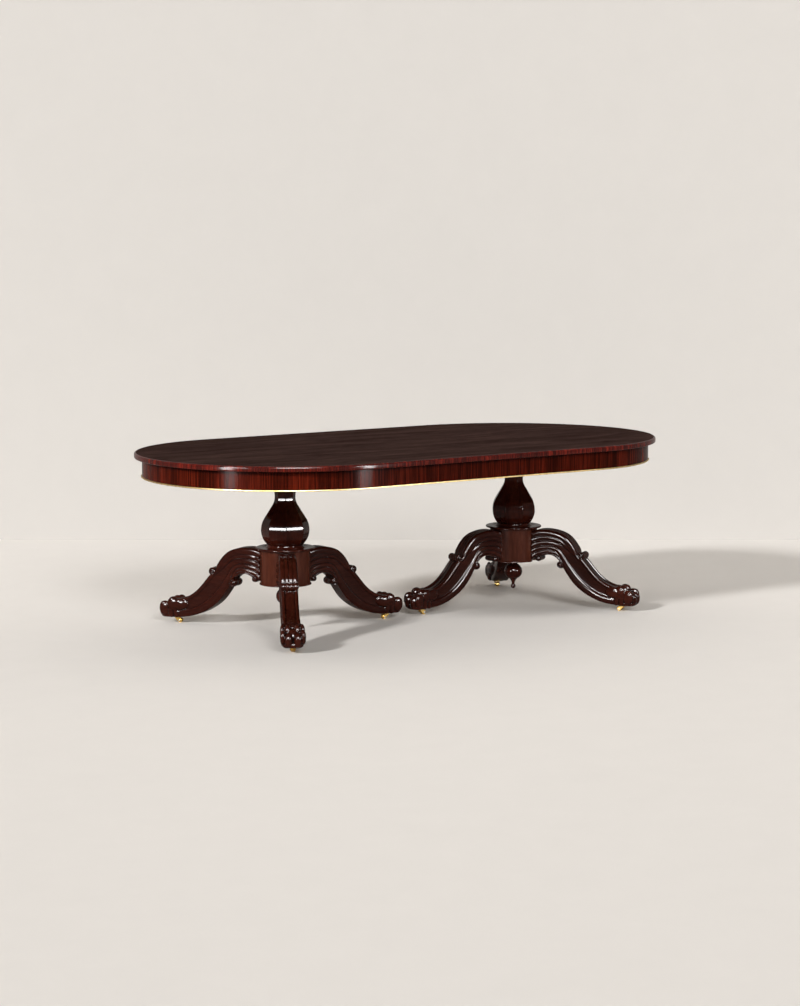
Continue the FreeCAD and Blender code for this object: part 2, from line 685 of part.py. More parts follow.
def groove_section(place, outward, y):
    """V-shaped section across the leg, its mouth outside the surface and its floor inside."""
    half = V(0, REED_GROOVE_WIDTH / 2, 0)
    mouth = place + outward * REED_GROOVE_DEPTH + V(0, y, 0)
    floor = place - outward * REED_GROOVE_DEPTH + V(0, y, 0)
    return polygon([mouth - half * 2, mouth + half * 2, floor])


def make_reed_grooves():
    """Grooves that part the knee into reeds, from the drum to the ear, and on round the ear."""
    run = [leg_point(p) for p in LEG_UPPER_SHARES if p[0] <= EAR_SHARES[0]]
    path = spline(run)
    along = path.tangentAt(path.FirstParameter)
    ear = leg_point(EAR_SHARES)
    grooves = []
    for i in range(1, REED_COUNT):
        y = LEG_WIDTH * (i / REED_COUNT - 0.5)
        section = Part.Wire(groove_section(run[0], V(-along.z, 0, along.x), y))
        sweep = Part.BRepOffsetAPI.MakePipeShell(Part.Wire(path))
        sweep.setBiNormalMode(V(0, 1, 0))
        sweep.add(section)
        sweep.build()
        sweep.makeSolid()
        grooves.append(sweep.shape())
        ring = Part.Face(Part.Wire(groove_section(ear + V(EAR_RADIUS, 0, 0), V(1, 0, 0), y)))
        grooves.append(ring.revolve(ear, V(0, 1, 0), 360))
    return grooves


def make_paw():
    """Pad of the paw with its row of toes, the outer ones set back."""
    pad_half = PAW_WIDTH / 2 - TOE_PROUD
    pad_run = [paw_point(p) for p in PAD_SHARES]
    heel = V(pad_run[0].x, 0, SOLE)
    pad = prism([spline(pad_run), line(pad_run[-1], heel), line(heel, pad_run[0])], -pad_half, pad_half)
    toe_width = (PAW_WIDTH - (TOE_COUNT - 1) * TOE_GAP) / TOE_COUNT
    toe_run = [paw_point(p) for p in TOE_SHARES]
    toe = prism([spline(toe_run), line(toe_run[-1], toe_run[0])], -toe_width / 2, toe_width / 2)
    toe = toe.makeFillet(TOE_ROUND, long_edges(toe, toe_run[1:-1]))
    toes = []
    for i in range(TOE_COUNT):
        y = (i - (TOE_COUNT - 1) / 2) * (toe_width + TOE_GAP)
        setback = OUTER_TOE_SETBACK if i in (0, TOE_COUNT - 1) else 0.0
        toes.append(placed(toe, 0, -setback, y))
    return [pad] + toes + make_heel_lobes()


def make_heel_lobes():
    """Two rounded lobes at each side of the heel."""
    lobes = []
    for shares in LOBE_SHARES:
        place = paw_point(shares)
        lobe = cylinder(LOBE_RADIUS, SOLE, place.z, place.x, PAW_WIDTH / 2 - LOBE_RADIUS)
        rim = [edge for edge in lobe.Edges if edge.BoundBox.ZMin > place.z - TOUCHING]
        lobe = lobe.makeFillet(LOBE_ROUND, rim)
        lobes += [lobe, across(lobe)]
    return lobes


def make_leg():
    """One leg along +X from the pedestal's axis, with its tenon and the hole for its caster."""
    tenon = dovetail(leg_point(LEG_LOWER_SHARES[-1]).z, TENON_TOP, 0.0)
    leg = fuse([make_leg_blank()] + make_scrolls())
    for groove in make_reed_grooves():
        leg = leg.cut(groove)
    leg = fuse([leg, tenon] + make_paw())
    return leg.cut(cylinder(SLEEVE_RADIUS, SOLE, SOLE + STEM_LENGTH, FOOT_RADIUS))


def make_caster_socket():
    """Flanged sleeve under the paw, which the caster's stem turns in."""
    sleeve = cylinder(SLEEVE_RADIUS, SOLE, SOLE + STEM_LENGTH)
    flange = cylinder(FLANGE_RADIUS, FLANGE_BOTTOM, SOLE)
    bore = cylinder(STEM_RADIUS + RUNNING_CLEARANCE, FLANGE_BOTTOM, SOLE + STEM_LENGTH)
    return sleeve.fuse(flange).removeSplitter().cut(bore)


def make_caster_fork():
    """Stem and crown with two raked cheeks; the wheel trails towards -X."""
    stem = cylinder(STEM_RADIUS, CROWN_BOTTOM, SOLE + STEM_LENGTH - STEM_END_GAP)
    crown = cylinder(CROWN_RADIUS, CROWN_BOTTOM, CROWN_BOTTOM + CROWN_THICKNESS)
    inner = WHEEL_WIDTH / 2 + WHEEL_SIDE_GAP
    outer = inner + CHEEK_THICKNESS
    chord = math.sqrt(CROWN_RADIUS ** 2 - outer ** 2)
    crown_top = CROWN_BOTTOM + CROWN_THICKNESS
    boss_top = V(-CASTER_TRAIL, 0, WHEEL_RADIUS + CHEEK_BOSS_RADIUS)
    boss_back = V(-CASTER_TRAIL - CHEEK_BOSS_RADIUS, 0, WHEEL_RADIUS)
    boss_bottom = V(-CASTER_TRAIL, 0, WHEEL_RADIUS - CHEEK_BOSS_RADIUS)
    cheek_edges = [
        line(V(chord, 0, crown_top), V(-chord, 0, crown_top)),
        line(V(-chord, 0, crown_top), boss_top),
        Part.Arc(boss_top, boss_back, boss_bottom).toShape(),
        bezier(boss_bottom, V(-chord / 2, 0, boss_bottom.z), V(chord, 0, CROWN_BOTTOM)),
        line(V(chord, 0, CROWN_BOTTOM), V(chord, 0, crown_top)),
    ]
    cheek = prism(cheek_edges, inner, outer)
    fork = fuse([stem, crown, cheek, across(cheek)])
    return fork.cut(cross_cylinder(AXLE_RADIUS, -CASTER_TRAIL, WHEEL_RADIUS, -outer, outer))


def make_caster_axle():
    """Riveted axle pin with a head outside each cheek."""
    half = WHEEL_WIDTH / 2 + WHEEL_SIDE_GAP + CHEEK_THICKNESS
    pin = cross_cylinder(AXLE_RADIUS, -CASTER_TRAIL, WHEEL_RADIUS, -half, half)
    head = cross_cylinder(AXLE_HEAD_RADIUS, -CASTER_TRAIL, WHEEL_RADIUS, half, half + AXLE_HEAD_LENGTH)
    return fuse([pin, head, across(head)])


def make_caster_wheel():
    half = WHEEL_WIDTH / 2
    wheel = cross_cylinder(WHEEL_RADIUS, -CASTER_TRAIL, WHEEL_RADIUS, -half, half)
    rims = [edge for edge in wheel.Edges if edge.Length > WHEEL_WIDTH + TOUCHING]
    wheel = wheel.makeChamfer(WHEEL_ROUND, rims)
    bore = cross_cylinder(AXLE_RADIUS + RUNNING_CLEARANCE, -CASTER_TRAIL, WHEEL_RADIUS, -half, half)
    return wheel.cut(bore)


def runner_bar(y0, own_half):
    """Runner along both halves, raised to the top's underside only along its own half."""
    bar = box(-RUNNER_HALF, RUNNER_HALF, y0, y0 + RUNNER_WIDTH, RUNNER_TOP - RUNNER_HEIGHT, RUNNER_TOP)
    pad = box(RUNNER_SEAM_GAP, RUNNER_HALF, y0, y0 + RUNNER_WIDTH, RUNNER_TOP, TOP_UNDERSIDE)
    return bar.fuse(on_side(pad, own_half)).removeSplitter()


def make_left_runners():
    """Outer runners, each with a groove that stops short of its far end."""
    face = RUNNER_FACE + RUNNER_GAP
    half_height = TONGUE_HEIGHT / 2 + GROOVE_CLEARANCE
    back = face + TONGUE_DEPTH + GROOVE_CLEARANCE
    z0 = RUNNER_MIDDLE - half_height
    z1 = RUNNER_MIDDLE + half_height
    groove = box(-RUNNER_HALF, GROOVE_END, face, back, z0, z1)
    runner = runner_bar(face, SIDES["left"]).cut(groove)
    return Part.Compound([runner, across(runner)])


def make_right_runners():
    """Inner runners, each with a tongue that the far end of the groove stops."""
    half_height = TONGUE_HEIGHT / 2
    reach = RUNNER_FACE + TONGUE_DEPTH
    z0 = RUNNER_MIDDLE - half_height
    z1 = RUNNER_MIDDLE + half_height
    tongue = box(-RUNNER_HALF, TONGUE_END, RUNNER_FACE, reach, z0, z1)
    runner = runner_bar(RUNNER_FACE - RUNNER_WIDTH, SIDES["right"]).fuse(tongue).removeSplitter()
    return Part.Compound([runner, across(runner)])


def make_alignment_pins():
    seam = SEAM_GAP / 2
    return Part.Compound([pin_shape(PIN_RADIUS, -seam - PIN_DEPTH, PIN_REACH, y) for y in PIN_ROWS])


def drill_left_top(top):
    for y in PIN_ROWS:
        top = top.cut(pin_shape(PIN_RADIUS, -SEAM_GAP / 2 - PIN_DEPTH, 0, y))
    return top


def drill_right_top(top):
    for y in PIN_ROWS:
        top = top.cut(pin_shape(PIN_RADIUS + PIN_CLEARANCE, 0, PIN_REACH + STOP_CLEARANCE, y))
    return top


def latch_plate(x):
    half = LATCH_PLATE_SIZE / 2
    bottom = TOP_UNDERSIDE - LATCH_PLATE_THICKNESS
    return box(x - half, x + half, LATCH_Y - half, LATCH_Y + half, bottom, TOP_UNDERSIDE)


def make_latch_pivots():
    """Plate, collar, stud and head that a hook turns on, on the left half."""
    x = -LATCH_SETBACK
    plate_bottom = TOP_UNDERSIDE - LATCH_PLATE_THICKNESS
    pivot = fuse([
        latch_plate(x),
        cylinder(LATCH_COLLAR_RADIUS, HOOK_TOP, plate_bottom, x, LATCH_Y),
        cylinder(LATCH_STUD_RADIUS, HOOK_BOTTOM, HOOK_TOP, x, LATCH_Y),
        cylinder(LATCH_COLLAR_RADIUS, HOOK_BOTTOM - LATCH_HEAD_HEIGHT, HOOK_BOTTOM, x, LATCH_Y),
    ])
    return Part.Compound([pivot, across(pivot)])


def make_latch_keepers():
    """Plate and the stud riveted under it for each hook, on the right half."""
    x = LATCH_SETBACK
    plate = latch_plate(x)
    stud = cylinder(KEEPER_RADIUS, HOOK_BOTTOM - KEEPER_PAST_HOOK, plate.BoundBox.ZMin, x, LATCH_Y)
    return Part.Compound([plate, stud, across(plate), across(stud)])


def make_back_hook():
    """Hook swung open along the seam; its notch meets the keeper when it turns to +X."""
    half = LATCH_HOOK_WIDTH / 2
    z0 = HOOK_BOTTOM + LATCH_HOOK_GAP
    z1 = HOOK_TOP - LATCH_HOOK_GAP
    arm = box(-half, half, -LATCH_REACH, LATCH_TAIL, z0, z1)
    nose = cylinder(half, z0, z1, 0, -LATCH_REACH)
    hub = cylinder(LATCH_STUD_RADIUS + RUNNING_CLEARANCE, z0, z1)
    notch_radius = KEEPER_RADIUS + KEEPER_CLEARANCE
    notch_end = cylinder(notch_radius, z0, z1, 0, -LATCH_REACH)
    swing = cylinder(LATCH_REACH + notch_radius, z0, z1).cut(cylinder(LATCH_REACH - notch_radius, z0, z1))
    notch = swing.common(box(0, half, -LATCH_REACH - notch_radius, 0, z0, z1))
    hook = fuse([arm, nose]).cut(hub).cut(notch_end).cut(notch)
    return placed(hook, 0, -LATCH_SETBACK, LATCH_Y)


def leg_angle(leg, side):
    angle = LEG_ANGLES[leg]
    return angle if side > 0 else 180.0 - angle


def half_nodes():
    """Every piece of both halves, by name."""
    shared = {
        "apron": make_apron(),
        "apron_bead": make_bead(),
        "glue_blocks": make_glue_blocks(),
        "bearers": make_bearers(),
        "pedestal_plate": make_plate(),
        "plate_screws": make_plate_screws(),
    }
    turned = {
        "column": make_column(),
        "column_base": make_column_base(),
        "drum": make_drum(),
        "finial": make_finial(),
        "tie_rod": make_tie_rod(),
        "tie_rod_nuts": make_tie_rod_nuts(),
    }
    top = make_top()
    leg = make_leg()
    socket = make_caster_socket()
    nodes = {
        "left_top": drill_left_top(on_side(top, SIDES["left"])),
        "right_top": drill_right_top(top),
        "left_runners": make_left_runners(),
        "right_runners": make_right_runners(),
    }
    for name, side in SIDES.items():
        for piece, shape in shared.items():
            nodes[f"{name}_{piece}"] = on_side(shape, side)
        for piece, shape in turned.items():
            nodes[f"{name}_{piece}"] = on_side(placed(shape, 0, PEDESTAL_X), side)
        sockets = []
        for which in LEG_ANGLES:
            angle = leg_angle(which, side)
            nodes[f"{name}_{which}_leg"] = placed(leg, angle, side * PEDESTAL_X)
            sockets.append(placed(placed(socket, 0, FOOT_RADIUS), angle, side * PEDESTAL_X))
        nodes[f"{name}_caster_sockets"] = Part.Compound(sockets)
    return nodes


def caster_nodes():
    """Fork, axle and wheel of each caster, trailing towards its pedestal."""
    pieces = {
        "fork": make_caster_fork(),
        "axle": make_caster_axle(),
        "wheel": make_caster_wheel(),
    }
    nodes = {}
    for name, side in SIDES.items():
        for which in LEG_ANGLES:
            for piece, shape in pieces.items():
                at_foot = placed(shape, 0, FOOT_RADIUS)
                node = f"{name}_{which}_caster_{piece}"
                nodes[node] = placed(at_foot, leg_angle(which, side), side * PEDESTAL_X)
    return nodes


def seam_nodes():
    """Alignment pins and latches where the halves meet."""
    back_hook = make_back_hook()
    return {
        "alignment_pins": make_alignment_pins(),
        "latch_pivots": make_latch_pivots(),
        "latch_keepers": make_latch_keepers(),
        "back_latch_hook": back_hook,
        "front_latch_hook": across(back_hook),
    }


def main():
    os.makedirs("parts", exist_ok=True)
    for group in (half_nodes(), caster_nodes(), seam_nodes()):
        for node, shape in group.items():
            shape.exportStep(f"parts/{node}.step")


if __name__ == "__main__":
    main()
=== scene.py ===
import math
from typing import NamedTuple

import bmesh
import bpy
import numpy as np
from mathutils import Matrix, Vector


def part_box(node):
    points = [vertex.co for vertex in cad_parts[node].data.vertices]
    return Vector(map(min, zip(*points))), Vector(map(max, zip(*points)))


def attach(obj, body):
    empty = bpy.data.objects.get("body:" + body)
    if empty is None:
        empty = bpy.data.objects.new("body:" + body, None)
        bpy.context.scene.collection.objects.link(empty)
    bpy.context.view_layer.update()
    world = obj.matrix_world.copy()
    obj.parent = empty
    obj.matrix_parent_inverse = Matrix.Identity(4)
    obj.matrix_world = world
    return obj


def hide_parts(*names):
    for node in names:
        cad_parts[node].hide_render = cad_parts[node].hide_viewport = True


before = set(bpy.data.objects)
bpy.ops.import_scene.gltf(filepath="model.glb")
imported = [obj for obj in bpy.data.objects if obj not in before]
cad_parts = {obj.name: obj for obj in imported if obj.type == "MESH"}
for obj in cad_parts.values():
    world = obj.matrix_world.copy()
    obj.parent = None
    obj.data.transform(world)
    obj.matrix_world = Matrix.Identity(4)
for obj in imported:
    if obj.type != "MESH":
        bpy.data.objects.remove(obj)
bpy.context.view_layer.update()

MM = 0.001

# Camera, in the table's frame
CAMERA_PLACE = Vector((-6.1359, -8.4507, 1.7477))
CAMERA_YAW = math.radians(54.093)  # from +X, turning to +Y
CAMERA_PITCH = math.radians(-6.863)
CAMERA_LENS = 87.98  # in millimetres
CAMERA_SENSOR = 36.0

# Studio, in metres and degrees, with linear tones
FLOOR_SIZE = 160.0
FLOOR_TONE = (0.80, 0.765, 0.724)
WALL_DISTANCE = 2.46  # behind the table's middle, as the camera looks
WALL_HEIGHT = FLOOR_SIZE / 4
WALL_TONE = (0.56, 0.5355, 0.506)
MOTTLE_SHADE = 0.985  # of the paper's tone
MIRRORED_SHARE = 0.4  # of the paper's tone, where the polish mirrors it
DIM = (0.175, 0.174, 0.172, 1.0)
STUDIO_REACH = 8.0
SOFTBOX_REACH = 2.0
BELLY_RISE = 68.0  # of the column's belly over its foot, in millimetres
SUNS = {  # azimuth, elevation, width, and share of the light on the floor
    "key": (190.0, 25.0, 7.0, 0.36),
    "fill": (252.0, 26.0, 20.0, 0.21),
}
SOFTBOXES = {  # azimuth, elevation and distance from the left column's belly, size, and brightness
    "left_softbox": (198.0, 7.0, SOFTBOX_REACH, (0.26, 0.4), 34.0),
    "right_softbox": (289.0, 7.0, SOFTBOX_REACH, (0.26, 0.4), 34.0),
    "left_window": (201.0, 8.0, STUDIO_REACH, (1.6, 0.9), 95.0),
    "right_window": (292.0, 8.0, STUDIO_REACH, (1.6, 0.9), 95.0),
    "front_window": (240.0, 28.0, STUDIO_REACH, (3.0, 2.6), 70.0),
}

# Tops, in millimetres
RIM_ROUND = 8.0
RIM_UNDER_ROUND = 4.0
RIM_STEPS = 6
FIELD_BORDER = 12.0
JOINT_HAIR = 0.15  # between the closed halves
PIN_ROWS = (-520.0, -130.0, 130.0, 520.0)  # along the seam
PIN_CLEARANCE = 0.3
SHARP_ANGLE = math.radians(40)

# Legs, in millimetres: distance from the pedestal's axis, and height
LEG_ANGLES = {"inner": 180.0, "front": -60.0, "back": 60.0}  # on the right pedestal, from +X
LEG_HALF_WIDTH = 38.0
CORE_STATIONS = (  # upper edge, then lower edge
    (97, 302, 97, 206), (122, 311, 120, 222), (150, 315, 146, 232), (202, 311, 182, 240),
    (240, 298, 212, 229), (271, 274, 231, 200), (300, 247, 247, 171), (326, 225, 264, 146),
    (350, 200, 289, 114), (385, 160, 335, 76), (430, 124, 392, 47), (475, 107, 450, 32),
    (520, 103, 520, 29),
)
KNEE_STATIONS = (  # the strand over the knee: middle, then thickness
    (97, 313, 34), (122, 321, 34), (150, 325, 34), (202, 320, 34),
    (239, 307, 34), (269, 282, 32), (293, 253, 26),
)
KNEE_REEDS = 4
ARCH_STATIONS = (  # the strand under the arch
    (133, 223, 13), (150, 231, 13), (173, 236, 13), (196, 233, 14), (216, 222, 15), (233, 207, 15),
)
ARCH_REEDS = 2
ARCH_INSET = 0.5
REED_DEPTH = 3.4
STRAND_ROUND = 5.0
STRAND_LEAST = 0.2  # half the thickness that a groove leaves
VOXEL = 1.6

# Along the leg's core: shares of its run, then what it has there
CORE_HALF_WIDTH = ((0, 0.05, 0.3, 0.7, 0.9, 1), (35, 32, 31, 31, 33, 37))
BAND_EDGES = (  # between the four bands of a side, as shares of its height
    ((0, 0.25, 0.45, 1), (0.25, 0.2, 0.001, 0.001)),
    ((0, 0.3, 0.5, 1), (0.5, 0.42, 0.36, 0.38)),
    ((0, 0.3, 0.46, 1), (0.75, 0.76, 0.86, 0.86)),
)
BAND_BULGES = (
    ((0, 0.25, 0.45, 1), (6.5, 5.0, 0.0, 0.0)),
    ((0, 0.5, 0.88, 1), (6.5, 6.0, 5.0, 0.5)),
    ((0, 0.25, 0.48, 0.85, 1), (7.0, 5.5, -2.5, -2.0, 0.0)),
    ((0, 0.3, 0.46, 0.9, 1), (6.5, 6.0, 4.0, 4.0, 0.0)),
)
FACE_DEPTH = ((0, 0.4, 0.5, 0.85, 1), (0, 0, 5.0, 4.5, 0))
FACE_MIDDLE = 0.35  # of that depth
BEAD_START = 0.68  # of the half width, for the beads along the upper face
BEAD_RISE = 0.5  # of that depth


class Scroll(NamedTuple):
    """A scroll's middle and radius, and how a strand winds into it, in degrees."""

    centre: tuple
    radius: float
    start: float
    turn: float


EAR = Scroll((325.0, 233.0), 18.0, 232, 500)
DRUM_SCROLL = Scroll((126.0, 211.0), 14.0, 80, 480)
KNEE_SCROLL = Scroll((229.0, 190.0), 18.0, 40, -500)
VOLUTE_REACH = ((0, 0.35, 1), (1.0, 0.96, 0.42))  # shares of the turn, then of the radius
VOLUTE_THICKNESS = 0.42  # of the reach
SCROLL_FILL = ((-4.0, 0.7), (-5.0, 0.8))  # past the leg's half width, and share of the radius
SCROLL_EYE = ((0.6, 0.12), (0.0, 0.24), (-1.5, 0.3), (-6.0, 0.3))


class Lobe(NamedTuple):
    """A rounded lobe: its middle from the paw's tip, half sizes, and turns in degrees."""

    behind: float
    sideways: float
    height: float
    radii: tuple
    tilt: float = 0.0
    spin: float = 0.0
    fullness: float = 2.0


class Toe(NamedTuple):
    """A toe's place and half width."""

    sideways: float
    set_back: float
    height: float
    half_width: float


PAW_TIP = 581.0
PAW_BODY = (  # pad, instep and sole
    Lobe(74, 0, 58, (50, 38, 40), fullness=2.6),
    Lobe(96, 0, 66, (40, 36, 40)),
    Lobe(46, 0, 36, (38, 42, 12), fullness=3.5),
)
HEEL_LOBES = (  # on the paw's +Y side
    Lobe(62, 39, 54, (11.5, 8.5, 28), tilt=6, spin=6, fullness=2.3),
    Lobe(84, 36.5, 52, (11, 8.5, 26), tilt=12, spin=4, fullness=2.3),
)
TOES = (
    Toe(-18.5, 0.0, 55.0, 16.5), Toe(18.5, 0.0, 55.0, 16.5),
    Toe(-39.0, 9.0, 66.0, 11.5), Toe(39.0, 9.0, 66.0, 11.5),
)
TOE_SPREAD = 0.25  # degrees for each millimetre sideways
KNUCKLE_HEIGHT = 84
KNUCKLE_WIDTH = 0.85  # of the toe's
TOE_ROOT_DRAW = 0.94  # of the toe's place sideways

# Woods: streaks and pores are so many times as close as the figure
STREAK_FINENESS = 9
PORE_FINENESS = 40
PORE_DEPTH = 0.0002
# Painted shade in hollows: the colour darkens with the surface's inward bend
HOLLOW_BEND = (0.45, 0.51)  # from a hollow to flat
HOLLOW_SHADE = (0.06, 1.0)
# Painted shade in corners: the colour darkens with ambient occlusion
CORNER_OPENNESS = (0.5, 0.9)  # from a corner to open
CORNER_SHADE = (0.04, 1.0)


def add_mesh_object(name, mesh):
    piece = bpy.data.objects.new(name, mesh)
    bpy.context.scene.collection.objects.link(piece)
    return piece


def look_direction(azimuth, elevation):
    level = math.cos(elevation)
    return Vector((math.cos(azimuth) * level, math.sin(azimuth) * level, math.sin(elevation)))


# Curves and sweeps for the carved legs


def smooth_run(points, count):
    """Points spaced along a natural cubic spline through the given ones."""
    points = np.asarray(points, float)
    steps = np.linalg.norm(np.diff(points, axis=0), axis=1)
    chord = np.concatenate([[0.0], np.cumsum(steps)])
    last = len(points) - 1
    matrix = np.eye(last + 1)
    right = np.zeros_like(points)
    for i in range(1, last):
        before = (points[i] - points[i - 1]) / steps[i - 1]
        after = (points[i + 1] - points[i]) / steps[i]
        matrix[i, i - 1:i + 2] = steps[i - 1], 2 * (steps[i - 1] + steps[i]), steps[i]
        right[i] = 6 * (after - before)
    bend = np.linalg.solve(matrix, right)
    at = np.linspace(0.0, chord[-1], count)
    k = np.clip(np.searchsorted(chord, at) - 1, 0, last - 1)
    b = ((at - chord[k]) / steps[k])[:, None]
    a = 1.0 - b
    curve = (a ** 3 - a) * bend[k] + (b ** 3 - b) * bend[k + 1]
    return a * points[k] + b * points[k + 1] + curve * (steps[k] ** 2)[:, None] / 6


def between(shares, values, count):
    """Values eased along a run, from a few shares of its length."""
    return np.interp(np.linspace(0.0, 1.0, count), shares, values)


def skin(bm, loops):
    """Closed tube through loops of points, with flat ends."""
    rows = [[bm.verts.new(Vector(p) * MM) for p in loop] for loop in loops]
    for near, far in zip(rows, rows[1:]):
        for i in range(len(near)):
            j = (i + 1) % len(near)
            bm.faces.new((near[i], near[j], far[j], far[i]))
    bm.faces.new(list(reversed(rows[0])))
    bm.faces.new(rows[-1])


def half_round(share):
    """Height of a half-round moulding, 0 at its edges and 1 at its middle."""
    return np.sqrt(np.clip(1 - (2 * share - 1) ** 2, 0, 1))


def core_loops(count=120, side_points=60, face_points=41):
    """The leg's body: bands along its sides, and edge beads beside a round on its upper face."""
    runs = smooth_run(CORE_STATIONS, count)
    half = between(*CORE_HALF_WIDTH, count)
    inner_edges = [between(*edge, count) for edge in BAND_EDGES]
    edges = np.stack([np.zeros(count), *inner_edges, np.ones(count)])
    bulges = np.stack([between(*bulge, count) for bulge in BAND_BULGES])
    sunk = between(*FACE_DEPTH, count)
    t = np.linspace(0.0, 1.0, side_points)
    face = np.linspace(-1.0, 1.0, face_points)
    bead = (np.abs(face) - BEAD_START) / (1 - BEAD_START)
    round_dip = FACE_MIDDLE + (1 - FACE_MIDDLE) * (face / BEAD_START) ** 2
    dip = np.where(bead > 0, -BEAD_RISE * half_round(bead), round_dip)
    loops = []
    for i, (upper_u, upper_z, lower_u, lower_z) in enumerate(runs):
        width = np.full(side_points, half[i])
        for k in range(len(bulges)):
            inside = (t >= edges[k, i]) & (t <= edges[k + 1, i])
            share = (t[inside] - edges[k, i]) / (edges[k + 1, i] - edges[k, i])
            width[inside] += bulges[k, i] * half_round(share)
        across = np.array([upper_u - lower_u, upper_z - lower_z])
        u = lower_u + t * across[0]
        z = lower_z + t * across[1]
        inward = across / np.linalg.norm(across)
        depth = sunk[i] * dip
        top = [upper_u - inward[0] * depth, -face * half[i], upper_z - inward[1] * depth]
        right_side = np.stack([u, width, z], 1)
        left_side = np.stack([u, -width, z], 1)[::-1]
        loops.append(np.concatenate([right_side, np.stack(top, 1)[1:-1], left_side]))
    return loops


def strand_loops(runs, half_width, reed_count, across=49, around=11):
    """A strand along a line in the leg's plane, reeded on both faces and round-sided."""
    line = runs[:, :2]
    along = np.gradient(line, axis=0)
    along /= np.linalg.norm(along, axis=1)[:, None]
    normal = np.stack([-along[:, 1], along[:, 0]], 1)
    share = np.linspace(0.0, 1.0, across)
    groove = REED_DEPTH * (1 - half_round((share * reed_count) % 1.0))
    flat = half_width - STRAND_ROUND
    turn = np.linspace(math.pi / 2, -math.pi / 2, around)[1:-1]
    side = flat + STRAND_ROUND * np.cos(turn)
    y = np.concatenate([(2 * share - 1) * flat, side, (1 - 2 * share) * flat, -side])
    loops = []
    for point, up, thick in zip(line, normal, runs[:, 2]):
        face = np.maximum(thick / 2 - groove, STRAND_LEAST)
        edge = face[-1] * np.sin(turn)
        rise = np.concatenate([face, edge, -face, -edge])
        loops.append(np.stack([point[0] + up[0] * rise, y, point[1] + up[1] * rise], 1))
    return loops


def volute(scroll, count=70):
    """Middle and thickness of a strand that winds in round a scroll's middle."""
    share = np.linspace(0.0, 1.0, count)
    angle = np.radians(scroll.start + share * scroll.turn)
    outside = scroll.radius * np.interp(share, *VOLUTE_REACH)
    thick = VOLUTE_THICKNESS * outside
    reach = outside - thick / 2
    u, z = scroll.centre
    return np.stack([u + reach * np.cos(angle), z + reach * np.sin(angle), thick], 1)


def spool(bm, centre, profile, sides=36):
    """A round across the leg, from half widths and radii, the same at both ends."""
    angle = np.linspace(0, 2 * math.pi, sides, endpoint=False)
    ends = [(-y, r) for y, r in profile] + [(y, r) for y, r in reversed(profile)]
    loops = []
    for y, radius in ends:
        u = centre[0] + radius * np.cos(angle)
        z = centre[1] + radius * np.sin(angle)
        loops.append(np.stack([u, np.full(sides, y), z], 1))
    skin(bm, loops)


def scroll_core(bm, scroll):
    """What fills a scroll between its turns, with a raised eye at each end."""
    for profile in (SCROLL_FILL, SCROLL_EYE):
        sizes = [(LEG_HALF_WIDTH + past, share * scroll.radius) for past, share in profile]
        spool(bm, scroll.centre, sizes)


def knee_strand(bm):
    """Reeded strand over the knee, which rolls outward into the ear."""
    run = smooth_run(KNEE_STATIONS, count=60)
    rolled = np.concatenate([run, volute(EAR)])[::2]
    skin(bm, strand_loops(smooth_run(rolled, count=170), LEG_HALF_WIDTH, KNEE_REEDS))
    scroll_core(bm, EAR)


def arch_strand(bm):
    """Strand under the arch, with a scroll at the drum and one behind the knee."""
    run = smooth_run(ARCH_STATIONS, count=50)
    rolled = np.concatenate([volute(DRUM_SCROLL)[::-1], run, volute(KNEE_SCROLL)])[::2]
    skin(bm, strand_loops(smooth_run(rolled, count=200), LEG_HALF_WIDTH - ARCH_INSET, ARCH_REEDS))
    scroll_core(bm, DRUM_SCROLL)
    scroll_core(bm, KNEE_SCROLL)


def add_lobe(bm, lobe):
    """One lobe of the paw, tilted in the leg's plane and spun about the upright."""
    spin = Matrix.Rotation(math.radians(lobe.spin), 3, "Z")
    turn = spin @ Matrix.Rotation(math.radians(lobe.tilt), 3, "Y")
    centre = Vector((PAW_TIP - lobe.behind, lobe.sideways, lobe.height))
    made = bmesh.ops.create_uvsphere(bm, u_segments=28, v_segments=20, radius=1.0)["verts"]
    for vertex in made:
        swell = sum(abs(c) ** lobe.fullness for c in vertex.co) ** (1 / lobe.fullness)
        point = Vector(c / swell * r for c, r in zip(vertex.co, lobe.radii))
        vertex.co = (centre + turn @ point) * MM


def toe_lobes(toe):
    """Tip, knuckle and root of one toe."""
    y = toe.sideways
    back = toe.set_back
    spin = TOE_SPREAD * y
    slim = KNUCKLE_WIDTH * toe.half_width
    tip = Lobe(back + 25, y, toe.height, (25, toe.half_width, 30), spin=spin, fullness=2.3)
    knuckle = Lobe(back + 64, y, KNUCKLE_HEIGHT, (25, slim, 29), tilt=12, spin=spin, fullness=2.2)
    root = Lobe(back + 95, y * TOE_ROOT_DRAW, KNUCKLE_HEIGHT, (36, slim, 24), tilt=6, spin=spin)
    return tip, knuckle, root


def paw(bm):
    """Pad, instep, sole, four knuckled toes, and two lobes at each side of the heel."""
    for lobe in PAW_BODY:
        add_lobe(bm, lobe)
    for toe in TOES:
        for lobe in toe_lobes(toe):
            add_lobe(bm, lobe)
    for side in (-1, 1):
        for lobe in HEEL_LOBES:
            add_lobe(bm, lobe._replace(sideways=side * lobe.sideways, spin=side * lobe.spin))


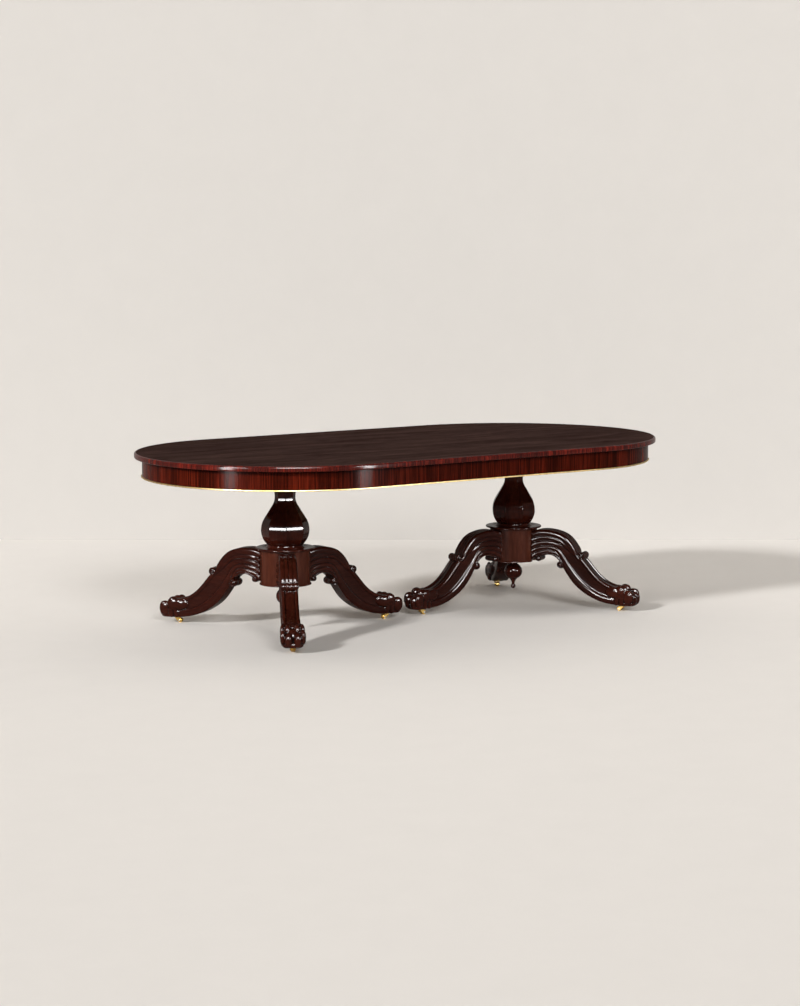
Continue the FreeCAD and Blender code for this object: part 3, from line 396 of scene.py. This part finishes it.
def make_leg_mesh():
    """One carved leg along +X from the pedestal's axis, blended into one surface."""
    bm = bmesh.new()
    skin(bm, core_loops())
    knee_strand(bm)
    arch_strand(bm)
    paw(bm)
    bmesh.ops.recalc_face_normals(bm, faces=bm.faces)
    mesh = bpy.data.meshes.new("carved_leg")
    bm.to_mesh(mesh)
    bm.free()
    piece = add_mesh_object("leg_blank", mesh)
    remesh = piece.modifiers.new("blend", "REMESH")
    remesh.mode = "VOXEL"
    remesh.voxel_size = VOXEL * MM
    smooth = piece.modifiers.new("ease", "SMOOTH")
    smooth.factor = 0.5
    smooth.iterations = 2
    thin = piece.modifiers.new("thin", "DECIMATE")
    thin.ratio = 0.4
    depsgraph = bpy.context.evaluated_depsgraph_get()
    carved = bpy.data.meshes.new_from_object(piece.evaluated_get(depsgraph))
    bpy.data.objects.remove(piece)
    carved.shade_smooth()
    return carved


def flatten_sole(mesh, sole):
    """Draws what bulges below the sole up to it."""
    for vertex in mesh.vertices:
        vertex.co.z = max(vertex.co.z, sole)


# Materials


def add(tree, kind, inputs=None, **settings):
    """A new node, with its settings, and its inputs linked or set."""
    node = tree.nodes.new(kind)
    for key, value in settings.items():
        setattr(node, key, value)
    for key, value in (inputs or {}).items():
        if isinstance(value, bpy.types.NodeSocket):
            tree.links.new(value, node.inputs[key])
        else:
            node.inputs[key].default_value = value
    return node


def ramp(tree, factor, stops):
    node = add(tree, "ShaderNodeValToRGB", {"Fac": factor})
    elements = node.color_ramp.elements
    while len(elements) < len(stops):
        elements.new(0.5)
    for element, (place, colour) in zip(elements, stops):
        element.position = place
        element.color = (*colour, 1.0)
    return node.outputs["Color"]


def new_material(name):
    material = bpy.data.materials.new(name)
    material.use_nodes = True
    tree = material.node_tree
    return material, tree, tree.nodes["Principled BSDF"]


def object_coords(tree, stretch=(1.0, 1.0, 1.0), turn=(0.0, 0.0, 0.0)):
    coords = add(tree, "ShaderNodeTexCoord")
    mapping = add(tree, "ShaderNodeMapping", {
        "Vector": coords.outputs["Object"], "Scale": stretch, "Rotation": turn,
    })
    return mapping.outputs["Vector"]


def noise(tree, vector, scale, detail, roughness, distortion=0.0):
    node = add(tree, "ShaderNodeTexNoise", {
        "Vector": vector, "Scale": scale, "Detail": detail, "Roughness": roughness,
        "Distortion": distortion,
    })
    return node.outputs["Fac"]


def mix_values(tree, a, b, share):
    node = add(tree, "ShaderNodeMix", {"Factor": share, "A": a, "B": b})
    return node.outputs["Result"]


def ranged(tree, value, from_range, to_range):
    node = add(tree, "ShaderNodeMapRange", {
        "Value": value, "From Min": from_range[0], "From Max": from_range[1],
        "To Min": to_range[0], "To Max": to_range[1],
    })
    return node.outputs["Result"]


def shaded(tree, colour, share):
    """A colour dimmed to a share of itself."""
    node = add(tree, "ShaderNodeVectorMath", {0: colour, "Scale": share}, operation="SCALE")
    return node.outputs[0]


def wood(
    name, stretch, stops, rough, specular, turn=(0.0, 0.0, 0.0), figure=2.2, relief=0.1, fineness=0.42,
    shade_hollows=False, edge=0.0, corner_shade_reach=0.0,
):
    """Polished wood: slow figure, fine streaks and open pores along one direction.

    Painted shade may darken its hollows, and its corners within a distance. Its edges may be eased by a
    radius.
    """
    material, tree, shader = new_material(name)
    vector = object_coords(tree, stretch, turn)
    slow = noise(tree, vector, figure, detail=4.0, roughness=0.55, distortion=0.9)
    fine = noise(tree, vector, figure * STREAK_FINENESS, detail=4.0, roughness=0.6, distortion=0.2)
    pores = noise(tree, vector, figure * PORE_FINENESS, detail=2.0, roughness=0.5)
    colour = ramp(tree, mix_values(tree, slow, fine, fineness), stops)
    # painted shade: darker where the surface bends inward, in grooves and hollows
    if shade_hollows:
        bend = add(tree, "ShaderNodeNewGeometry").outputs["Pointiness"]
        colour = shaded(tree, colour, ranged(tree, bend, HOLLOW_BEND, HOLLOW_SHADE))
    # painted shade: darker near other surfaces, within the given distance
    if corner_shade_reach:
        openness = add(tree, "ShaderNodeAmbientOcclusion", {"Distance": corner_shade_reach}, samples=8).outputs["AO"]
        colour = shaded(tree, colour, ranged(tree, openness, CORNER_OPENNESS, CORNER_SHADE))
    tree.links.new(colour, shader.inputs["Base Color"])
    polish = ranged(tree, fine, (0.3, 0.7), (rough * 0.85, rough * 1.2))
    tree.links.new(polish, shader.inputs["Roughness"])
    bump = add(tree, "ShaderNodeBump", {"Height": pores, "Strength": relief, "Distance": PORE_DEPTH})
    if edge:
        eased = add(tree, "ShaderNodeBevel", {"Radius": edge}, samples=8)
        tree.links.new(eased.outputs["Normal"], bump.inputs["Normal"])
    tree.links.new(bump.outputs["Normal"], shader.inputs["Normal"])
    shader.inputs["Specular IOR Level"].default_value = specular
    return material


def top_wood(name, stops):
    """The top's polished field, whose gloss shows from above and fades at a low angle."""
    material = wood(name, (1.1, 7.0, 3.0), stops, rough=0.4, specular=0.0, figure=1.6)
    tree = material.node_tree
    shader = tree.nodes["Principled BSDF"]
    facing = add(tree, "ShaderNodeLayerWeight", {"Blend": 0.5}).outputs["Facing"]
    tree.links.new(ranged(tree, facing, (0.4, 0.8), (0.5, 0.0)), shader.inputs["Coat Weight"])
    shader.inputs["Coat Roughness"].default_value = 0.12
    return material


def metal(name, colour, dark, rough):
    """Metal with a thin uneven tarnish."""
    material, tree, shader = new_material(name)
    tarnish = noise(tree, object_coords(tree), scale=90.0, detail=4.0, roughness=0.6)
    tree.links.new(ramp(tree, tarnish, ((0.3, dark), (0.6, colour))), shader.inputs["Base Color"])
    tree.links.new(ranged(tree, tarnish, (0.3, 0.7), (rough * 1.4, rough)), shader.inputs["Roughness"])
    shader.inputs["Metallic"].default_value = 1.0
    return material


def make_materials():
    turned = (6.0, 6.0, 0.9)
    return {
        "mahogany_top": top_wood(
            "mahogany_top",
            ((0.28, (0.016, 0.0072, 0.0055)), (0.5, (0.037, 0.0212, 0.018)),
             (0.74, (0.068, 0.038, 0.031))),
        ),
        "mahogany_rim": wood(
            "mahogany_rim", (30.0, 30.0, 0.5),
            ((0.3, (0.014, 0.0022, 0.0016)), (0.5, (0.05, 0.006, 0.004)), (0.68, (0.29, 0.022, 0.01))),
            rough=0.12, specular=0.2, figure=1.8, fineness=0.6,
        ),
        "mahogany_apron": wood(
            "mahogany_apron", (15.0, 15.0, 0.5),
            ((0.3, (0.011, 0.0013, 0.0006)), (0.45, (0.03, 0.0034, 0.0013)),
             (0.57, (0.08, 0.0082, 0.003)), (0.74, (0.2, 0.02, 0.0065))),
            # painted shade in the corner under the rim and above the bead
            rough=0.16, specular=0.035, figure=1.25, fineness=0.56, corner_shade_reach=0.018,
        ),
        "mahogany_turned": wood(
            "mahogany_turned", turned,
            ((0.25, (0.012, 0.002, 0.0012)), (0.5, (0.032, 0.0058, 0.0032)),
             (0.8, (0.072, 0.0135, 0.0065))),
            rough=0.085, specular=0.18, figure=2.4, edge=0.005,
        ),
        "mahogany_drum": wood(
            "mahogany_drum", turned,
            ((0.25, (0.024, 0.0055, 0.0028)), (0.5, (0.06, 0.0145, 0.0072)), (0.8, (0.12, 0.03, 0.014))),
            rough=0.2, specular=0.12, figure=2.4,
        ),
        "mahogany_carved": wood(
            "mahogany_carved", (1.2, 7.0, 7.0),
            ((0.25, (0.011, 0.0018, 0.001)), (0.5, (0.03, 0.0055, 0.0028)),
             (0.8, (0.064, 0.0125, 0.006))),
            # painted shade in the carving's hollows
            rough=0.12, specular=0.21, turn=(0.0, 0.75, 0.0), figure=3.0, shade_hollows=True,
        ),
        "hardwood": wood(
            "hardwood", (1.0, 8.0, 8.0),
            ((0.25, (0.16, 0.085, 0.04)), (0.5, (0.25, 0.145, 0.07)), (0.8, (0.34, 0.21, 0.11))),
            rough=0.55, specular=0.3, figure=4.0, relief=0.3,
        ),
        "gilt": metal("gilt", (0.9, 0.68, 0.33), dark=(0.62, 0.4, 0.14), rough=0.3),
        "brass": metal("brass", (1.0, 0.7, 0.24), dark=(0.72, 0.42, 0.1), rough=0.24),
        "steel": metal("steel", (0.55, 0.55, 0.56), dark=(0.3, 0.3, 0.31), rough=0.3),
    }


NODE_FINISHES = {
    "top": "mahogany_top",
    "apron": "mahogany_apron",
    "apron_bead": "gilt",
    "glue_blocks": "hardwood",
    "bearers": "hardwood",
    "pedestal_plate": "hardwood",
    "runners": "hardwood",
    "plate_screws": "steel",
    "tie_rod": "steel",
    "tie_rod_nuts": "steel",
    "column": "mahogany_turned",
    "column_base": "mahogany_turned",
    "drum": "mahogany_drum",
    "finial": "mahogany_turned",
    "leg": "mahogany_carved",
    "caster_sockets": "brass",
    "caster_fork": "brass",
    "caster_wheel": "brass",
    "caster_axle": "steel",
    "alignment_pins": "brass",
    "latch_pivots": "steel",
    "latch_keepers": "steel",
    "latch_hook": "steel",
}


def finish_of(node):
    """The finish of the longest piece name that a node's name ends with."""
    endings = [ending for ending in NODE_FINISHES if node.endswith(ending)]
    return NODE_FINISHES[max(endings, key=len)]


def dress_nodes(materials):
    for name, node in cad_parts.items():
        node.data.materials.clear()
        node.data.materials.append(materials[finish_of(name)])


# Pieces


def add_legs(materials):
    """Six carved legs from one mesh, round the drums."""
    mesh = make_leg_mesh()
    flatten_sole(mesh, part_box("right_inner_leg")[0].z)
    mesh.materials.append(materials["mahogany_carved"])
    for side in ("left", "right"):
        low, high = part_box(f"{side}_drum")
        axis = (low + high) / 2
        for which, angle in LEG_ANGLES.items():
            if side == "left":
                angle = 180.0 - angle
            leg = add_mesh_object(f"{side}_{which}_leg_carved", mesh)
            turn = Matrix.Rotation(math.radians(angle), 4, "Z")
            leg.matrix_world = Matrix.Translation((axis.x, axis.y, 0)) @ turn
            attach(leg, f"{side}_half")
            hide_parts(f"{side}_{which}_leg")


def plan_run(low, high, inset, seam_side, round_steps=96):
    """Half a stadium plan, drawn in by an inset, from the seam's front round to its back."""
    radius = (high.y - low.y) / 2
    seam_x, tip_x = (low.x, high.x) if seam_side < 0 else (high.x, low.x)
    centre_x = tip_x + seam_side * radius
    reach = radius - inset
    points = [(seam_x, -reach)]
    for i in range(round_steps + 1):
        angle = math.pi * (i / round_steps - 0.5)
        points.append((centre_x - seam_side * reach * math.cos(angle), reach * math.sin(angle)))
    return points + [(seam_x, reach)]


def rim_profile(low, high):
    """Insets and heights from the top's field, over the eased rim, to its underside."""
    border = FIELD_BORDER * MM
    ease = RIM_ROUND * MM
    under = RIM_UNDER_ROUND * MM
    quarter = [math.pi / 2 * i / RIM_STEPS for i in range(RIM_STEPS + 1)]
    upper = [(ease * (1 - math.sin(a)), high.z - ease * (1 - math.cos(a))) for a in quarter]
    lower = [(under * (1 - math.cos(a)), low.z + under * (1 - math.sin(a))) for a in quarter]
    return [(border, high.z)] + upper + lower + [(border, low.z)]


def loop_edges(bm, loop):
    """The edges round a loop of vertices, made where they are missing."""
    pairs = list(zip(loop, loop[1:] + loop[:1]))
    return [bm.edges.get(pair) or bm.edges.new(pair) for pair in pairs]


def pin_socket(bm, x, y, sides=24):
    """Walls and floor of a socket for one alignment pin, and the edges of its mouth."""
    low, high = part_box("alignment_pins")
    clearance = PIN_CLEARANCE * MM
    radius = (high.z - low.z) / 2 + clearance
    z = (low.z + high.z) / 2
    turns = [2 * math.pi * i / sides for i in range(sides)]
    ring = [(y + radius * math.cos(a), z + radius * math.sin(a)) for a in turns]
    mouth = [bm.verts.new((x, *point)) for point in ring]
    floor = [bm.verts.new((high.x + clearance, *point)) for point in ring]
    for i in range(sides):
        bm.faces.new((mouth[i - 1], mouth[i], floor[i], floor[i - 1]))
    bm.faces.new(floor)
    return loop_edges(bm, mouth)


def add_top(side, materials):
    """One half of the top, with a rim of its own finish and sockets in the right half's meeting face."""
    low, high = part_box(f"{side}_top")
    if side == "left":
        seam_side = 1
        high.x = -JOINT_HAIR / 2 * MM
    else:
        seam_side = -1
        low.x = JOINT_HAIR / 2 * MM
    bm = bmesh.new()
    rows = []
    for inset, z in rim_profile(low, high):
        rows.append([bm.verts.new((x, y, z)) for x, y in plan_run(low, high, inset, seam_side)])
    for k, (near, far) in enumerate(zip(rows, rows[1:])):
        on_rim = 0 < k < len(rows) - 2
        for i in range(len(near) - 1):
            face = bm.faces.new((near[i], near[i + 1], far[i + 1], far[i]))
            face.material_index = int(on_rim)
    bm.faces.new(rows[0])
    bm.faces.new(rows[-1])
    meeting = loop_edges(bm, [row[0] for row in rows] + [row[-1] for row in reversed(rows)])
    if side == "right":
        for y in PIN_ROWS:
            meeting += pin_socket(bm, low.x, y * MM)
    bmesh.ops.triangle_fill(bm, use_beauty=True, edges=meeting)
    bmesh.ops.recalc_face_normals(bm, faces=bm.faces)
    mesh = bpy.data.meshes.new(f"{side}_top_polished")
    bm.to_mesh(mesh)
    bm.free()
    mesh.shade_smooth()
    mesh.set_sharp_from_angle(angle=SHARP_ANGLE)
    mesh.materials.append(materials["mahogany_top"])
    mesh.materials.append(materials["mahogany_rim"])
    top = add_mesh_object(f"{side}_top_polished", mesh)
    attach(top, f"{side}_half")
    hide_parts(f"{side}_top")


# Stage


def paper(name, tone):
    """Pale matt paper with a faint mottle, dimmer where the polish mirrors it."""
    material, tree, shader = new_material(name)
    mottle = noise(tree, object_coords(tree), scale=6.0, detail=5.0, roughness=0.6)
    shade = tuple(c * MOTTLE_SHADE for c in tone)
    colour = ramp(tree, mottle, ((0.3, shade), (0.7, tone)))
    mirrored = add(tree, "ShaderNodeLightPath").outputs["Is Glossy Ray"]
    seen = shaded(tree, colour, ranged(tree, mirrored, (0.0, 1.0), (1.0, MIRRORED_SHARE)))
    tree.links.new(seen, shader.inputs["Base Color"])
    shader.inputs["Roughness"].default_value = 0.9
    shader.inputs["Specular IOR Level"].default_value = 0.0
    return material, tree, shader


def add_sheet(name, corners, material):
    mesh = bpy.data.meshes.new(name)
    mesh.from_pydata(corners, [], [(0, 1, 2, 3)])
    mesh.materials.append(material)
    sheet = add_mesh_object(name, mesh)
    return sheet


def add_floor():
    half = FLOOR_SIZE / 2
    corners = [(-half, -half, 0), (half, -half, 0), (half, half, 0), (-half, half, 0)]
    add_sheet("floor", corners, paper("floor_paper", FLOOR_TONE)[0])


def add_wall():
    """Wall behind the table, seen from its front only, which casts no shadow."""
    material, tree, shader = paper("wall_paper", WALL_TONE)
    back = add(tree, "ShaderNodeNewGeometry").outputs["Backfacing"]
    clear = add(tree, "ShaderNodeBsdfTransparent").outputs["BSDF"]
    mixed = add(tree, "ShaderNodeMixShader", {0: back, 1: shader.outputs["BSDF"], 2: clear})
    tree.links.new(mixed.outputs["Shader"], tree.nodes["Material Output"].inputs["Surface"])
    forward = look_direction(CAMERA_YAW, 0.0)
    side = Vector((forward.y, -forward.x, 0)) * FLOOR_SIZE / 2
    foot = forward * WALL_DISTANCE
    rise = Vector((0, 0, WALL_HEIGHT))
    corners = [foot - side, foot + side, foot + side + rise, foot - side + rise]
    wall = add_sheet("wall", corners, material)
    wall.visible_shadow = False


def facing_lamp(name, lamp, middle, azimuth, elevation, distance):
    """A lamp that faces a middle, set round it at an azimuth and elevation in degrees."""
    away = look_direction(math.radians(azimuth), math.radians(elevation))
    holder = bpy.data.objects.new(name, lamp)
    holder.location = middle + away * distance
    holder.rotation_mode = "QUATERNION"
    holder.rotation_quaternion = (-away).to_track_quat("-Z", "Y")
    bpy.context.scene.collection.objects.link(holder)
    return holder


def add_sun(name, azimuth, elevation, width, share):
    """Sun with a soft edge that gives a share of the floor's light."""
    lamp = bpy.data.lights.new(name, "SUN")
    lamp.energy = share * math.pi / math.sin(math.radians(elevation))
    lamp.angle = math.radians(width)
    facing_lamp(name, lamp, Vector((0, 0, 0)), azimuth, elevation, STUDIO_REACH)


def add_softbox(name, middle, azimuth, elevation, distance, size, brightness):
    """Lamp that only shows as a reflection."""
    lamp = bpy.data.lights.new(name, "AREA")
    lamp.shape = "RECTANGLE"
    lamp.size, lamp.size_y = size
    lamp.energy = brightness * math.pi * size[0] * size[1]
    holder = facing_lamp(name, lamp, middle, azimuth, elevation, distance)
    holder.visible_diffuse = False
    holder.visible_camera = False


def add_world():
    world = bpy.data.worlds.new("studio")
    bpy.context.scene.world = world
    world.use_nodes = True
    world.node_tree.nodes["Background"].inputs["Color"].default_value = DIM


def add_lights():
    for name, sun in SUNS.items():
        add_sun(name, *sun)
    low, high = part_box("left_column")
    belly = (low + high) / 2
    belly.z = low.z + BELLY_RISE * MM
    for name, softbox in SOFTBOXES.items():
        add_softbox(name, belly, *softbox)


def add_camera():
    data = bpy.data.cameras.new("camera")
    data.sensor_width = CAMERA_SENSOR
    data.lens = CAMERA_LENS
    camera = bpy.data.objects.new("camera", data)
    camera.location = CAMERA_PLACE
    camera.rotation_mode = "QUATERNION"
    camera.rotation_quaternion = look_direction(CAMERA_YAW, CAMERA_PITCH).to_track_quat("-Z", "Y")
    bpy.context.scene.collection.objects.link(camera)
    bpy.context.scene.camera = camera


def main():
    bpy.context.scene.view_settings.view_transform = "Standard"
    materials = make_materials()
    dress_nodes(materials)
    add_legs(materials)
    for side in ("left", "right"):
        add_top(side, materials)
    add_floor()
    add_wall()
    add_world()
    add_lights()
    add_camera()


main()
